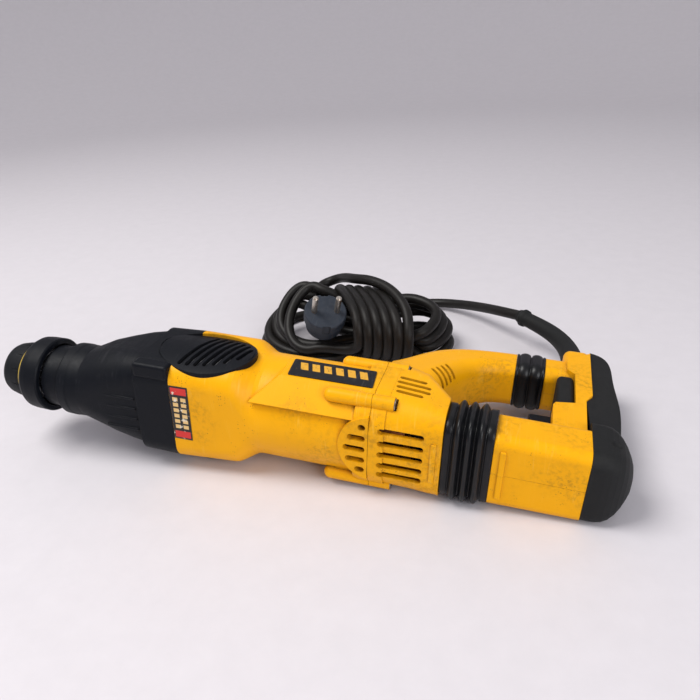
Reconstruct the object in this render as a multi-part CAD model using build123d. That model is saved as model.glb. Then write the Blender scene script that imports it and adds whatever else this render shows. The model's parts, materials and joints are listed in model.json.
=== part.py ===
from build123d import *

import math
import os

# Corded D-handle rotary hammer, lying on its left side with its cord wound up behind it.
# Every piece is drawn in the tool's own frame, in millimetres:
#   x runs from the nose tip (0) to the rear, y towards the tool's underside (hammer axis at 0),
#   z towards the tool's right side (up, as it lies).
# floor_move() then lays the whole tool on the floor.

# ---- overall sizes ----
TOOL_LENGTH = 419.5
BIT_SHANK_RADIUS = 5.0
BIT_DEPTH = 48.0
NECK_RADIUS = 21.5
NECK_START = 35.2
NECK_END = 49.0
COVER_END = 137.0
SEAM = 268.0
REAR_END = 312.0
HANDLE_START = 341.2
ARM_END = 347.0
STUB_START = 367.0
WALL = 3.0

# ---- axes ----
MOTOR_Y = 11.5
MODULE = 1.0
PINION_TEETH = 8
DRIVEN_TEETH = 26
SHAFT_TEETH = 18
SPINDLE_TEETH = 32
MOTOR_CENTRES = MODULE * (PINION_TEETH + DRIVEN_TEETH) / 2
SPINDLE_CENTRES = MODULE * (SHAFT_TEETH + SPINDLE_TEETH) / 2
SHAFT_Y = (SPINDLE_CENTRES**2 - MOTOR_CENTRES**2 + MOTOR_Y**2) / (2 * MOTOR_Y)
SHAFT_Z = -math.sqrt(SPINDLE_CENTRES**2 - SHAFT_Y**2)
WOBBLE_X = 141.0
FINGER_RADIUS = 2.5
PIN_EYE = 4.9
PISTON_END = 149.5

# ---- resting on the floor ----
KNOB_X = 150.5
KNOB_Y = 6.0
KNOB_RADIUS = 14.0
KNOB_REACH = 42.0
HANDLE_HALF = 24.0
CORNER_HALF = 18.6
CAP_FLAT_END = 402.0
TILT = math.degrees(math.atan2(KNOB_REACH - HANDLE_HALF, CAP_FLAT_END - KNOB_X - KNOB_RADIUS))

# ---- cord ----
CORD_RADIUS = 4.4
FLOOR_GAP = 0.1

# Rounded sections of the casing: x, y from, y to, z from, z to, corner radius.
COVER_SECTIONS = [
    (57.0, -25.2, 25.2, -25.2, 25.2, 25.1),
    (65.0, -25.0, 25.0, -25.0, 25.0, 24.9),
    (77.0, -24.6, 31.5, -29.5, 29.5, 25.0),
    (88.0, -24.2, 33.4, -32.0, 32.0, 22.0),
    (100.0, -23.6, 36.0, -33.8, 34.0, 19.0),
    (112.0, -23.2, 37.6, -34.6, 35.0, 16.0),
]
COVER_BLOCK = [
    (112.0, -24.6, 39.0, -36.2, 36.2, 14.0),
    (COVER_END, -23.8, 40.0, -36.6, 36.6, 13.0),
]
GEARBOX_FRONT = (COVER_END, -23.8, 40.0, -36.6, 36.6, 13.0)
GEARBOX_REAR = (176.0, -22.6, 42.0, -36.0, 36.6, 16.0)
MOTOR_TUBE_FRONT = (193.0, MOTOR_Y - 34, MOTOR_Y + 34, -34.0, 34.0, 33.9)
MOTOR_TUBE_REAR = (SEAM, MOTOR_Y - 34, MOTOR_Y + 34, -34.0, 34.0, 33.9)
FLANGE = (-23.2, 45.0, -32.6, 34.5, 21.0)
FLANGE_LEAD = (-22.4, 44.8, -32.0, 33.9, 21.0)
REAR_SECTIONS = [
    (278.0, -22.2, 44.6, -31.6, 34.4, 20.0),
    (295.0, -22.0, 36.0, -30.6, 33.4, 17.0),
    (304.0, -21.8, 23.0, -30.0, 32.4, 14.0),
    (REAR_END, -21.6, 11.4, -28.8, 31.2, 11.0),
]
# Lower arm of the D, square to its own curved centre line:
# x, y, heading in degrees, width, z from, z to, radius.
ARM_SECTIONS = [
    (277.0, 30.0, 58.0, 44.0, -29.0, 31.5, 14.0),
    (288.0, 50.5, 53.0, 38.0, -25.5, 27.0, 13.0),
    (299.0, 69.5, 42.0, 34.6, -21.6, 23.0, 11.5),
    (312.0, 82.5, 31.0, 30.5, -18.8, 19.8, 10.0),
    (327.0, 89.4, 18.0, 27.2, -17.4, 17.8, 9.0),
    (340.0, 91.6, 5.0, 26.0, -16.8, 16.9, 8.0),
    (ARM_END, 91.9, 0.0, 26.0, -16.8, 16.8, 8.0),
]
STUB = (79.0, 104.8, -16.8, 16.8, 8.0)
UPPER_ARM_FRONT = (HANDLE_START, -20.6, 9.6, -25.0, 25.0, 6.5)
UPPER_ARM_REAR = (394.0, -21.6, 9.6, -24.0, 24.0, 6.5)
BOSS_PLACES = [(-13.0, 31.0), (27.0, 31.0), (-13.0, -27.6), (37.0, -24.6)]
BOSS_RADIUS = 4.5
DAMPER_Y = -5.0
DAMPER_Z = (-11.0, 11.0)
STUB_Y = 91.9
GUIDE_RADIUS = 3.2
BUSH_RADIUS = 6.4
VENT_CENTRE = (152.5, 4.0)
VENT_HALF = (33.5, 24.0)


# ---------------------------------------------------------------- small tools
def across(x, y=0.0, z=0.0):
    """Plane square to the tool's length, with local axes along y and z."""
    return Plane(origin=(x, y, z), x_dir=(0, 1, 0), z_dir=(1, 0, 0))


def rod(x0, x1, radius, y=0.0, z=0.0):
    return extrude(across(x0, y, z) * Circle(radius), x1 - x0)


def sleeve(x0, x1, outer, inner, y=0.0, z=0.0):
    return rod(x0, x1, outer, y, z) - rod(x0 - 1, x1 + 1, inner, y, z)


def turned(outline, y=0.0, z=0.0):
    """Solid of revolution about a line along x, from (x, radius) points."""
    face = make_face(Polyline(*[(x, r, 0) for x, r in outline], close=True))
    return Pos(0, y, z) * revolve(face, Axis.X)


def block(x0, x1, y0, y1, z0, z1):
    middle = Pos((x0 + x1) / 2, (y0 + y1) / 2, (z0 + z1) / 2)
    return middle * Box(x1 - x0, y1 - y0, z1 - z0)


def soft_block(x0, x1, y0, y1, z0, z1, radius):
    solid = block(x0, x1, y0, y1, z0, z1)
    return fillet(solid.edges(), radius)


def section(x, y0, y1, z0, z1, radius):
    centre = across(x, (y0 + y1) / 2, (z0 + z1) / 2)
    return centre * RectangleRounded(y1 - y0, z1 - z0, radius)


def grown(spec, by):
    """The same section, larger all round (or smaller, if by is negative)."""
    x, y0, y1, z0, z1, radius = spec
    return (x, y0 - by, y1 + by, z0 - by, z1 + by, max(radius + by, 0.8))


def between(a, b, steps):
    """Sections from a to b that start and end without a crease."""
    ease = [(1 - math.cos(math.pi * i / steps)) / 2 for i in range(steps + 1)]
    places = [a[0] + (b[0] - a[0]) * i / steps for i in range(steps + 1)]
    return [(x, *[p + (q - p) * t for p, q in zip(a[1:], b[1:])]) for x, t in zip(places, ease)]


def lofted(specs):
    return loft([section(*spec) for spec in specs], ruled=True)


def slot_y(x0, x1, z, height, y0, y1):
    """Round-ended slot along x, cut square to the front face."""
    plane = Plane(origin=((x0 + x1) / 2, y0, z), x_dir=(1, 0, 0), z_dir=(0, 1, 0))
    return extrude(plane * SlotOverall(x1 - x0, height), y1 - y0)


def slot_z(x0, y0, x1, y1, width, z0, z1):
    """Round-ended slot between two points of the side face."""
    length = math.hypot(x1 - x0, y1 - y0) + width
    turn = math.degrees(math.atan2(y1 - y0, x1 - x0))
    shape = Pos((x0 + x1) / 2, (y0 + y1) / 2, z0) * Rot(0, 0, turn) * SlotOverall(length, width)
    return extrude(shape, z1 - z0)


def coil_spring(x0, x1, coil_radius, wire_radius, turns, y=0.0, z=0.0):
    rings = []
    for i in range(turns):
        x = x0 + wire_radius + (x1 - x0 - 2 * wire_radius) * i / (turns - 1)
        ring = Torus(coil_radius, wire_radius)
        rings.append(Pos(x, y, z) * Rot(0, 90, 0) * ring)
    return Compound(children=rings)


# ---------------------------------------------------------------- gears
PRESSURE_ANGLE = math.radians(25)
BACKLASH = 0.28
ADDENDUM = 0.72
DEDENDUM = 1.1


def involute(angle):
    return math.tan(angle) - angle


def gear_outline(teeth, first_tooth):
    """Points of a spur gear's outline in (y, z), with one tooth centred at first_tooth radians."""
    pitch = MODULE * teeth / 2
    base = pitch * math.cos(PRESSURE_ANGLE)
    tip = pitch + ADDENDUM * MODULE
    root = pitch - DEDENDUM * MODULE
    half = math.pi / (2 * teeth) - BACKLASH / (2 * pitch)
    start = max(base, root)
    flank = [(start + (tip - start) * i / 3) for i in range(4)]
    spread = [half + involute(PRESSURE_ANGLE) - involute(math.acos(min(1, base / r))) for r in flank]
    if root < base:
        flank.insert(0, root)
        spread.insert(0, spread[0])
    points = []
    for tooth in range(teeth):
        centre = first_tooth + 2 * math.pi * tooth / teeth
        rising = [(r, centre - s) for r, s in zip(flank, spread)]
        falling = [(r, centre + s) for r, s in zip(reversed(flank), reversed(spread))]
        points += [(r * math.cos(a), r * math.sin(a)) for r, a in rising + falling]
    return points


def gear(x0, x1, teeth, first_tooth, y=0.0, z=0.0):
    outline = Polyline(*gear_outline(teeth, first_tooth), close=True)
    return extrude(across(x0, y, z) * make_face(outline), x1 - x0)


MOTOR_TO_SHAFT = math.atan2(SHAFT_Z, SHAFT_Y - MOTOR_Y)
SHAFT_TO_SPINDLE = math.atan2(-SHAFT_Z, -SHAFT_Y)


# ---------------------------------------------------------------- tool holder
SPINDLE_RADIUS = 13.0
CYLINDER_RADIUS = 14.3
CYLINDER_BORE = 11.5
SPINDLE_GEAR_X = (104.0, 112.0)


def spindle():
    outline = [
        (3.0, BIT_SHANK_RADIUS),
        (1.5, BIT_SHANK_RADIUS + 2.0),
        (1.5, 11.0),
        (3.5, SPINDLE_RADIUS),
        (84.0, SPINDLE_RADIUS),
        (86.0, CYLINDER_RADIUS),
        (127.0, CYLINDER_RADIUS),
        (127.0, CYLINDER_BORE),
        (84.0, CYLINDER_BORE),
        (84.0, 7.0),
        (BIT_DEPTH + 3.0, 7.0),
        (BIT_DEPTH + 3.0, BIT_SHANK_RADIUS),
    ]
    body = turned(outline)
    for side in (1, -1):
        body -= Pos(21.3, 0, side * 9.2) * Cylinder(3.3, 9.0)
    return body


def locking_balls():
    balls = [Pos(21.3, 0, side * 9.2) * Sphere(3.2) for side in (1, -1)]
    return Compound(children=balls)


def dust_cap():
    outline = [
        (0.0, 9.0),
        (0.0, 15.5),
        (0.8, 17.0),
        (3.0, 18.2),
        (8.0, 19.4),
        (13.0, 20.2),
        (16.0, 20.4),
        (16.0, SPINDLE_RADIUS),
        (3.2, SPINDLE_RADIUS),
        (1.2, 11.0),
        (1.2, 9.0),
    ]
    cap = turned(outline)
    for i in range(12):
        groove = Rot(30 * i, 0, 0) * block(5.0, 14.5, 19.6, 22.0, -0.6, 0.6)
        cap -= groove
    return cap


def retaining_ring():
    outline = [(16.0, SPINDLE_RADIUS), (16.0, 20.8), (17.6, 21.2), (18.4, 20.8), (18.4, SPINDLE_RADIUS)]
    return turned(outline)


def locking_collar():
    """Sliding sleeve: a web that runs on the spindle and a skirt that passes over the neck."""
    outline = [
        (18.7, SPINDLE_RADIUS + 0.12),
        (18.7, 22.6),
        (19.6, 24.4),
        (21.6, 25.6),
        (25.0, 26.0),
        (33.6, 26.2),
        (34.6, 25.4),
        (34.8, 24.2),
        (34.8, 22.4),
        (24.0, 22.4),
        (23.2, SPINDLE_RADIUS + 0.12),
    ]
    return turned(outline)


def spring_seat():
    return sleeve(33.2, 34.6, 19.6, SPINDLE_RADIUS)


def collar_spring():
    return coil_spring(24.2, 33.0, 17.4, 0.9, 4)


def spindle_gear():
    wheel = gear(*SPINDLE_GEAR_X, SPINDLE_TEETH, SHAFT_TO_SPINDLE + math.pi + math.pi / SPINDLE_TEETH)
    return wheel - rod(SPINDLE_GEAR_X[0] - 1, SPINDLE_GEAR_X[1] + 1, CYLINDER_RADIUS)


# ---------------------------------------------------------------- hammer mechanism
def beat_piece():
    outline = [
        (53.0, 0.0),
        (53.0, 4.0),
        (54.5, 4.8),
        (58.5, 4.8),
        (60.0, 6.8),
        (78.0, 6.8),
        (80.0, 5.4),
        (83.0, 5.0),
        (83.0, 0.0),
    ]
    return turned(outline)


def striker():
    outline = [
        (89.0, 0.0),
        (89.0, 9.8),
        (90.2, 11.3),
        (95.2, 11.3),
        (95.2, 9.8),
        (98.0, 9.8),
        (98.0, 11.3),
        (102.6, 11.3),
        (102.6, 8.0),
        (97.0, 8.0),
        (97.0, 0.0),
    ]
    return turned(outline)


def striker_ring():
    return sleeve(95.3, 97.9, 11.42, 9.8)


def piston():
    """Cup that rides in the cylinder, with a rear fork cross-drilled for the wobble finger."""
    outline = [
        (110.5, 0.0),
        (110.5, 10.6),
        (111.3, 11.35),
        (PISTON_END, 11.35),
        (PISTON_END, 8.0),
        (129.0, 8.0),
        (129.0, 7.0),
        (124.0, 0.0),
    ]
    gap = Pos(0, 0, SPINDLE_CENTRES / 2) * Box(11.6, 2 * FINGER_RADIUS + 0.7, SPINDLE_CENTRES)
    eye = Rot(90, 0, 0) * Cylinder(PIN_EYE, 30.0)
    return turned(outline) - Pos(WOBBLE_X, 0, 0) * finger_frame() * (gap + eye)


def piston_pin():
    """Cross pin in the piston's fork, drilled through for the wobble ring's finger."""
    pin = Rot(90, 0, 0) * Cylinder(PIN_EYE - 0.03, 20.6)
    hole = Cylinder(FINGER_RADIUS + 1.15, 30.0)
    return Pos(WOBBLE_X, 0, 0) * finger_frame() * (pin - hole)


def finger_frame():
    """Turns local +Z from the hammer axis towards the layshaft."""
    return Rot(math.degrees(math.atan2(-SHAFT_Y, SHAFT_Z)), 0, 0)


def wobble_ring():
    """Ring that swings on the hub's ball, with its driving finger and two oil holes on the swing axis."""
    near = -5.2
    far = SPINDLE_CENTRES - 10.8
    finger = Pos(0, 0, (near + far) / 2) * Cylinder(FINGER_RADIUS, far - near)
    oil_holes = Pos(0, 0, SPINDLE_CENTRES) * Rot(90, 0, 0) * Cylinder(1.2, 40.0)
    ring = sleeve(WOBBLE_X - 4.5, WOBBLE_X + 4.5, 12.8, 9.6, SHAFT_Y, SHAFT_Z)
    swing = Pos(WOBBLE_X, 0, 0) * finger_frame()
    return ring + swing * finger - swing * oil_holes


def wobble_hub():
    """Barrel-shaped inner race, keyed to the layshaft."""
    half = 6.5
    radius = 9.3
    arc = [(WOBBLE_X + half * i / 6, math.sqrt(radius**2 - (half * i / 6) ** 2)) for i in range(-6, 7)]
    outline = [(WOBBLE_X - half, 4.02)] + arc + [(WOBBLE_X + half, 4.02)]
    return turned(outline, SHAFT_Y, SHAFT_Z)


def layshaft():
    shaft = rod(95.0, 175.0, 4.0, SHAFT_Y, SHAFT_Z)
    pinion = gear(103.0, 113.0, SHAFT_TEETH, SHAFT_TO_SPINDLE, SHAFT_Y, SHAFT_Z)
    return shaft + pinion


def layshaft_gear():
    phase = MOTOR_TO_SHAFT + math.pi + math.pi / DRIVEN_TEETH
    wheel = gear(158.0, 166.0, DRIVEN_TEETH, phase, SHAFT_Y, SHAFT_Z)
    return wheel - rod(157.0, 167.0, 4.0, SHAFT_Y, SHAFT_Z)


# ---------------------------------------------------------------- motor
def armature_shaft():
    shaft = rod(168.0, 303.0, 5.0, MOTOR_Y)
    pinion = gear(156.5, 168.0, PINION_TEETH, MOTOR_TO_SHAFT, MOTOR_Y)
    return shaft + pinion


def armature_core():
    core = sleeve(206.0, 254.0, 19.0, 5.0, MOTOR_Y)
    for i in range(12):
        slot = Pos(0, MOTOR_Y, 0) * Rot(30 * i, 0, 0) * block(205.0, 255.0, 12.5, 20.0, -1.3, 1.3)
        core -= slot
    return core


def armature_windings():
    front = turned([(199.0, 5.0), (199.0, 11.0), (202.0, 16.0), (205.9, 17.0), (205.9, 5.0)], MOTOR_Y)
    rear = turned([(254.1, 5.0), (254.1, 17.0), (258.0, 16.0), (263.0, 10.0), (263.0, 5.0)], MOTOR_Y)
    return Compound(children=[front, rear])


def commutator():
    return sleeve(268.5, 286.0, 12.5, 5.0, MOTOR_Y)


def cooling_fan():
    disc = sleeve(190.0, 192.0, 27.0, 5.0, MOTOR_Y)
    hub = sleeve(189.0, 198.0, 9.0, 5.0, MOTOR_Y)
    fan = disc + hub
    for i in range(10):
        blade = Pos(0, MOTOR_Y, 0) * Rot(36 * i, 0, 0) * block(191.0, 198.0, 8.0, 26.5, -0.7, 0.7)
        fan += blade
    return fan


def field_stator():
    ring = sleeve(208.0, 252.0, 30.0, 25.5, MOTOR_Y)
    poles = sleeve(208.0, 252.0, 26.0, 20.0, MOTOR_Y)
    poles -= block(207.0, 253.0, MOTOR_Y - 9.0, MOTOR_Y + 9.0, -30.0, 30.0)
    return ring + poles


def field_coils():
    coils = []
    for side in (1, -1):
        for x0, x1 in ((200.0, 207.8), (252.2, 261.0)):
            ring = sleeve(x0, x1, 29.0, 21.5, MOTOR_Y)
            keep = block(x0 - 1, x1 + 1, MOTOR_Y - 35, MOTOR_Y + 35, 3.0, 35.0)
            coils.append(ring & (keep if side > 0 else mirror(keep, Plane.XY)))
    return Compound(children=coils)


def brush_holders():
    holders = []
    for side in (1, -1):
        tube = block(272.5, 282.5, MOTOR_Y - 5.0, MOTOR_Y + 5.0, 14.0, 27.0)
        tube -= block(274.0, 281.0, MOTOR_Y - 3.6, MOTOR_Y + 3.6, 13.0, 28.0)
        holders.append(tube if side > 0 else mirror(tube, Plane.XY))
    return Compound(children=holders)


def carbon_brushes():
    brushes = []
    for side in (1, -1):
        brush = block(274.3, 280.7, MOTOR_Y - 3.3, MOTOR_Y + 3.3, 12.9, 24.0)
        brushes.append(brush if side > 0 else mirror(brush, Plane.XY))
    return Compound(children=brushes)


# ---------------------------------------------------------------- inner gear case
def gear_case():
    """Cast inner case: a nose tube for the spindle bearing and a closed box for the gears."""
    outer = gear_case_sections(-WALL - 0.2)
    inner = [grown(s, -2.4) for s in outer]
    inner[0] = (inner[0][0] + 2.4, *inner[0][1:])
    inner[-1] = (inner[-1][0] + 0.5, *inner[-1][1:])
    case = lofted(outer) - lofted(inner)
    case += rod(38.0, 60.0, 19.0)
    case -= rod(37.0, 62.0, 16.6)
    return case - knob_hole()


def gear_case_sections(by):
    """The inner case follows the outer one, closer in; by is how far it grows."""
    nose = (58.3, *COVER_SECTIONS[0][1:])
    return [grown(s, by) for s in [nose, *COVER_SECTIONS[1:], COVER_BLOCK[1], GEARBOX_REAR]]


def bulkhead():
    """Plate that closes the gear case and carries the rear bearings."""
    rear = GEARBOX_REAR[1:]
    plate = lofted([grown((176.4, *rear), -WALL - 0.6), grown((180.2, *rear), -WALL - 1.8)])
    plate += rod(170.6, 176.6, 9.0, SHAFT_Y, SHAFT_Z)
    plate += rod(180.0, 188.0, 14.0, MOTOR_Y)
    plate -= rod(170.0, 176.2, 6.4, SHAFT_Y, SHAFT_Z)
    plate -= rod(180.0, 189.0, 11.0, MOTOR_Y)
    return plate - rod(170.0, 181.0, 9.2, MOTOR_Y)


def bearing(x0, x1, outer, inner, y, z):
    """Ball bearing: two races and their balls as separate solids."""
    middle = (outer + inner) / 2
    ball_radius = min((outer - inner) * 0.22, (x1 - x0) * 0.42)
    pieces = [sleeve(x0, x1, outer, middle + ball_radius * 0.55, y, z)]
    pieces.append(sleeve(x0, x1, middle - ball_radius * 0.55, inner, y, z))
    groove = Pos((x0 + x1) / 2, y, z) * Rot(0, 90, 0) * Torus(middle, ball_radius + 0.05)
    pieces = [piece - groove for piece in pieces]
    count = int(2 * math.pi * middle / (2.6 * ball_radius))
    for i in range(count):
        angle = 2 * math.pi * i / count
        place = Pos((x0 + x1) / 2, y + middle * math.cos(angle), z + middle * math.sin(angle))
        pieces.append(place * Sphere(ball_radius))
    return Compound(children=pieces)


def spindle_bearing():
    return sleeve(40.0, 54.0, 16.5, SPINDLE_RADIUS + 0.1)


def motor_front_bearing():
    return bearing(180.1, 188.0, 11.0, 5.05, MOTOR_Y, 0.0)


def motor_rear_bearing():
    return bearing(291.0, 298.0, 11.0, 5.05, MOTOR_Y, 0.0)


def layshaft_bearings():
    front = sleeve(96.0, 101.0, 6.4, 4.08, SHAFT_Y, SHAFT_Z)
    rear = sleeve(170.2, 176.0, 6.3, 4.08, SHAFT_Y, SHAFT_Z)
    return Compound(children=[front, rear])


def bearing_bracket():
    """Bracket in the rear casing that holds the armature's rear bearing and the brush holders."""
    ring = sleeve(290.0, 299.0, 14.0, 11.05, MOTOR_Y)
    bar = block(290.5, 298.5, MOTOR_Y - 6.0, MOTOR_Y + 6.0, -26.5, 29.0) - rod(290, 299, 12.0, MOTOR_Y)
    return ring + bar


# ---------------------------------------------------------------- casing
def vent_prism(by, z0, z1):
    """Upright oval prism of the vent plate's outline, grown by a margin."""
    shape = Pos(*VENT_CENTRE, z0) * Rot(0, 0, -3) * Ellipse(VENT_HALF[0] + by, VENT_HALF[1] + by)
    return extrude(shape, z1 - z0)


def nose_cover():
    body = lofted(COVER_SECTIONS) + lofted(COVER_BLOCK)
    neck = [
        (NECK_START, 19.2),
        (NECK_START, NECK_RADIUS - 0.4),
        (NECK_START + 0.4, NECK_RADIUS),
        (NECK_END, NECK_RADIUS),
        (NECK_END, 24.2),
        (50.2, 25.3),
        (56.0, 25.5),
        (58.0, 25.1),
        (58.0, 19.2),
    ]
    inner = [grown(s, -WALL) for s in COVER_SECTIONS + [COVER_BLOCK[1]]]
    inner.insert(0, (56.0, *inner[0][1:]))
    inner.append((COVER_END + 1, *inner[-1][1:]))
    cover = body - lofted(inner) + turned(neck)
    cover -= scoop(-21.5, 30.5)
    cover += corner_lug()
    for i in range(4):
        cover += rib(-16.0 + 8.0 * i)
    return cover - vent_prism(0.15, 24.0, 50.0)


def scoop(y, z):
    """Long pocket pressed into the cover's upper edge, deepening towards the lug."""
    place = Pos(99.0, y - 4.5, z + 3.5) * Rot(0, 0, 4)
    return place * Rot(0, 90, 0) * Cone(1.0, 6.2, 27.0)


def corner_lug():
    """Screw lug at the cover's upper edge, beside the pocket."""
    lug = fillet(block(112.0, COVER_END, -24.4, -14.0, 26.0, 36.4).edges(), 2.4)
    return lug - lofted([grown((x, *COVER_BLOCK[1][1:]), -WALL) for x in (100.0, 140.0)])


def rib(z):
    """Low grip rib along the cover's top face."""
    return fillet(block(86.0, 110.0, -24.3, -21.6, z - 0.9, z + 0.9).edges(), 0.6)


def vent_plate():
    """Oval louvre plate: a domed shell, plain in front and slotted behind."""
    dome = rod(100.0, 200.0, 64.0, VENT_CENTRE[1], 38.6 - 64.0)
    core = rod(100.0, 200.0, 61.2, VENT_CENTRE[1], 38.6 - 64.0)
    plate = (vent_prism(0.0, 28.0, 45.0) & dome) - (vent_prism(-2.4, 20.0, 45.0) & core)
    plate -= vent_prism(-0.9, 38.1, 45.0) - vent_prism(-1.7, 30.0, 45.0)
    for i in range(7):
        x = 146.0 + 5.4 * i
        reach = 19.5 * math.sqrt(max(0.0, 1 - ((x + 3 - VENT_CENTRE[0]) / 31.5) ** 2))
        y0 = VENT_CENTRE[1] - reach
        y1 = VENT_CENTRE[1] + reach
        plate -= slot_z(x - 0.24 * reach, y0 + 1.5, x + 0.24 * reach, y1 - 1.5, 3.0, 20.0, 45.0)
    keep_out = gear_case_sections(-WALL)
    keep_out.append((184.0, *keep_out[-1][1:]))
    return plate - lofted(keep_out)


def motor_housing():
    """Yellow barrel round the gear case and the motor, with the seam flange at its rear end."""
    taper = between(GEARBOX_REAR, MOTOR_TUBE_FRONT, 6)
    front = between(GEARBOX_FRONT, GEARBOX_REAR, 2)
    body = lofted(front + taper[1:] + [MOTOR_TUBE_REAR])
    body += lofted([(258.0, *FLANGE_LEAD), (262.0, *FLANGE), (SEAM - 0.1, *FLANGE)])
    ear = Pos(272.0, 0.0, 2.5) * Rot(90, 0, 0) * extrude(Circle(23.0), 23.2)
    body += ear & block(240.0, SEAM - 0.1, -30.0, 0.0, -30.0, 30.0)
    body += fillet(block(244.0, 262.0, -14.0, 14.0, -32.6, -20.0).edges(), 2.0)
    body += label_pad()
    inner = [grown(s, -WALL) for s in front + taper[1:] + [MOTOR_TUBE_REAR]]
    inner.insert(0, (COVER_END - 1, *inner[0][1:]))
    inner.append((SEAM + 1, *inner[-1][1:]))
    body -= lofted(inner)
    for y, z in BOSS_PLACES:
        body += rod(242.0, SEAM - 0.1, BOSS_RADIUS, y, z) + Pos(242.0, y, z) * Sphere(BOSS_RADIUS)
    body -= vent_prism(0.15, 24.0, 50.0)
    body -= knob_hole()
    for z, x0 in zip(FRONT_GRILLE_Z, FRONT_GRILLE_X):
        body -= slot_y(x0, 266.2, z, 4.2, -30.0, -14.0)
    for y, z in BOSS_PLACES:
        body -= rod(246.0, SEAM + 1, 2.1, y, z)
    return body


FRONT_GRILLE_Z = [17.6, 9.6, 1.6, -6.4, -13.6]
FRONT_GRILLE_X = [261.5, 255.0, 252.4, 254.0, 260.0]
REAR_GRILLE_Z = [16.6, 8.2, 0.2, -7.8, -14.8]
LABEL_Z = 34.5


def label_pad():
    """Flat raised pad on the side face that carries the label plate."""
    end = SEAM - 0.1
    foot = Pos((190.0 + end) / 2, 5.0, 20.0) * Rectangle(end - 190.0, 52.0)
    top = Pos((206.5 + end) / 2, 5.0, LABEL_Z) * Rectangle(end - 206.5, 23.0)
    return loft([foot, top])


def knob_hole():
    return Pos(KNOB_X, KNOB_Y, -34.0) * Cylinder(4.2, 12.0)


def arm_solid(by=0.0):
    """Lower arm of the D as one smooth horn; by grows its sections."""
    faces = []
    for x, y, heading, width, z0, z1, radius in ARM_SECTIONS:
        turn = math.radians(heading)
        normal = (math.cos(turn), math.sin(turn), 0)
        side = (-math.sin(turn), math.cos(turn), 0)
        shift = 0.6 * by if x in (ARM_SECTIONS[0][0], ARM_SECTIONS[-1][0]) else 0.0
        where = (x - shift * normal[0], y - shift * normal[1], (z0 + z1) / 2)
        plane = Plane(origin=where, x_dir=side, z_dir=normal)
        faces.append(plane * RectangleRounded(width + 2 * by, z1 - z0 + 2 * by, radius + by))
    return loft(faces)


def arm_cover_region():
    """Everything outside a curve that runs just inside the lower arm's outer edge."""
    curve = Spline((272.0, 48.0), (286.0, 66.0), (302.0, 81.5), (320.0, 91.0), (348.5, 95.6))
    rest = Polyline((348.5, 95.6), (348.5, 130.0), (250.0, 130.0), (262.0, 36.0), (272.0, 48.0))
    return Pos(0, 0, -50) * extrude(make_face([curve, rest]), 100)


def rear_shell():
    """Rear casing and lower arm in one hollow piece, before the arm cover is parted off."""
    lead = [(SEAM + 0.1, *FLANGE), (277.4, *FLANGE)]
    body = lofted(lead) + lofted([(277.2, *REAR_SECTIONS[0][1:])] + REAR_SECTIONS)
    solid = body + (arm_solid() - block(200, SEAM + 0.1, -60, 150, -60, 60))
    inner = [grown(s, -WALL) for s in REAR_SECTIONS]
    inner = [(SEAM - 1, *inner[0][1:])] + inner + [(REAR_END + 1, *inner[-1][1:])]
    solid -= lofted(inner)
    solid -= arm_solid(-2.6)
    solid -= arm_mouth()
    for y, z in BOSS_PLACES:
        solid += rod(SEAM + 0.1, 281.4, BOSS_RADIUS, y, z)
    return solid


def arm_mouth():
    y0, y1, z0, z1, radius = STUB
    return lofted([grown((x, y0, y1, z0, z1, radius), -2.6) for x in (ARM_END - 3.0, ARM_END + 1.0)])


def rear_cuts():
    cuts = []
    for z in REAR_GRILLE_Z:
        cuts.append(slot_y(273.6, 301.4, z, 4.0, -30.0, -12.0))
    for y, x0, x1 in ((13.6, 280.0, 294.5), (8.2, 279.5, 298.0), (2.8, 280.0, 298.5), (-2.4, 281.0, 295.0)):
        cuts.append(slot_z(x0, y, x1, y - 1.0, 2.8, 24.0, 45.0))
    for i in range(4):
        x = 294.6 + 2.4 * i
        y = 42.0 + 4.6 * i
        cuts.append(slot_z(x, y, x + 9.0, y - 3.6, 2.4, 15.0, 45.0))
    for y, z in BOSS_PLACES:
        cuts.append(rod(SEAM - 1, 282.0, 2.1, y, z))
        cuts.append(rod(279.4, 283.0, 3.9, y, z))
    return cuts


def rear_housing():
    shell = rear_shell() - arm_cover_region()
    for cut in rear_cuts():
        shell -= cut
    lip = fillet(block(305.5, 309.0, -22.9, -19.5, -14.0, 14.0).edges(), 0.8)
    return shell + lip


def arm_cover():
    return (rear_shell() & arm_cover_region()) - block(260, 268.2, -60, 150, -60, 60)


def housing_screws():
    screws = []
    for y, z in BOSS_PLACES:
        head = rod(279.4, 282.0, 3.7, y, z) - block(281.0, 283.0, y - 2.6, y + 2.6, z - 0.5, z + 0.5)
        head -= block(281.0, 283.0, y - 0.5, y + 0.5, z - 2.6, z + 2.6)
        screws.append(head + rod(248.0, 279.6, 2.0, y, z))
    return Compound(children=screws)


def label_plate():
    outline = Polyline((211.0, -5.0), (265.5, -5.0), (263.5, 14.5), (209.0, 14.5), close=True)
    plate = Pos(0, 0, LABEL_Z) * extrude(make_face(outline), 0.7)
    return fillet(plate.edges().filter_by(Axis.Z), 1.0)


def mode_knob():
    disc = Pos(KNOB_X, KNOB_Y, -38.2) * Cylinder(KNOB_RADIUS, 2.6)
    disc = chamfer(disc.edges(), 0.5)
    reach = KNOB_RADIUS - 0.4
    grip = soft_block(KNOB_X - reach, KNOB_X + reach, KNOB_Y - 4, KNOB_Y + 4, -KNOB_REACH, -38, 1.4)
    ring = Cylinder(KNOB_RADIUS, KNOB_REACH - 39) - Cylinder(11.6, 5)
    ring = Pos(KNOB_X, KNOB_Y, -(KNOB_REACH + 39) / 2) * ring
    post = Pos(KNOB_X, KNOB_Y, -34.0) * Cylinder(4.0, 8.0)
    return disc + grip + ring + post


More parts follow.
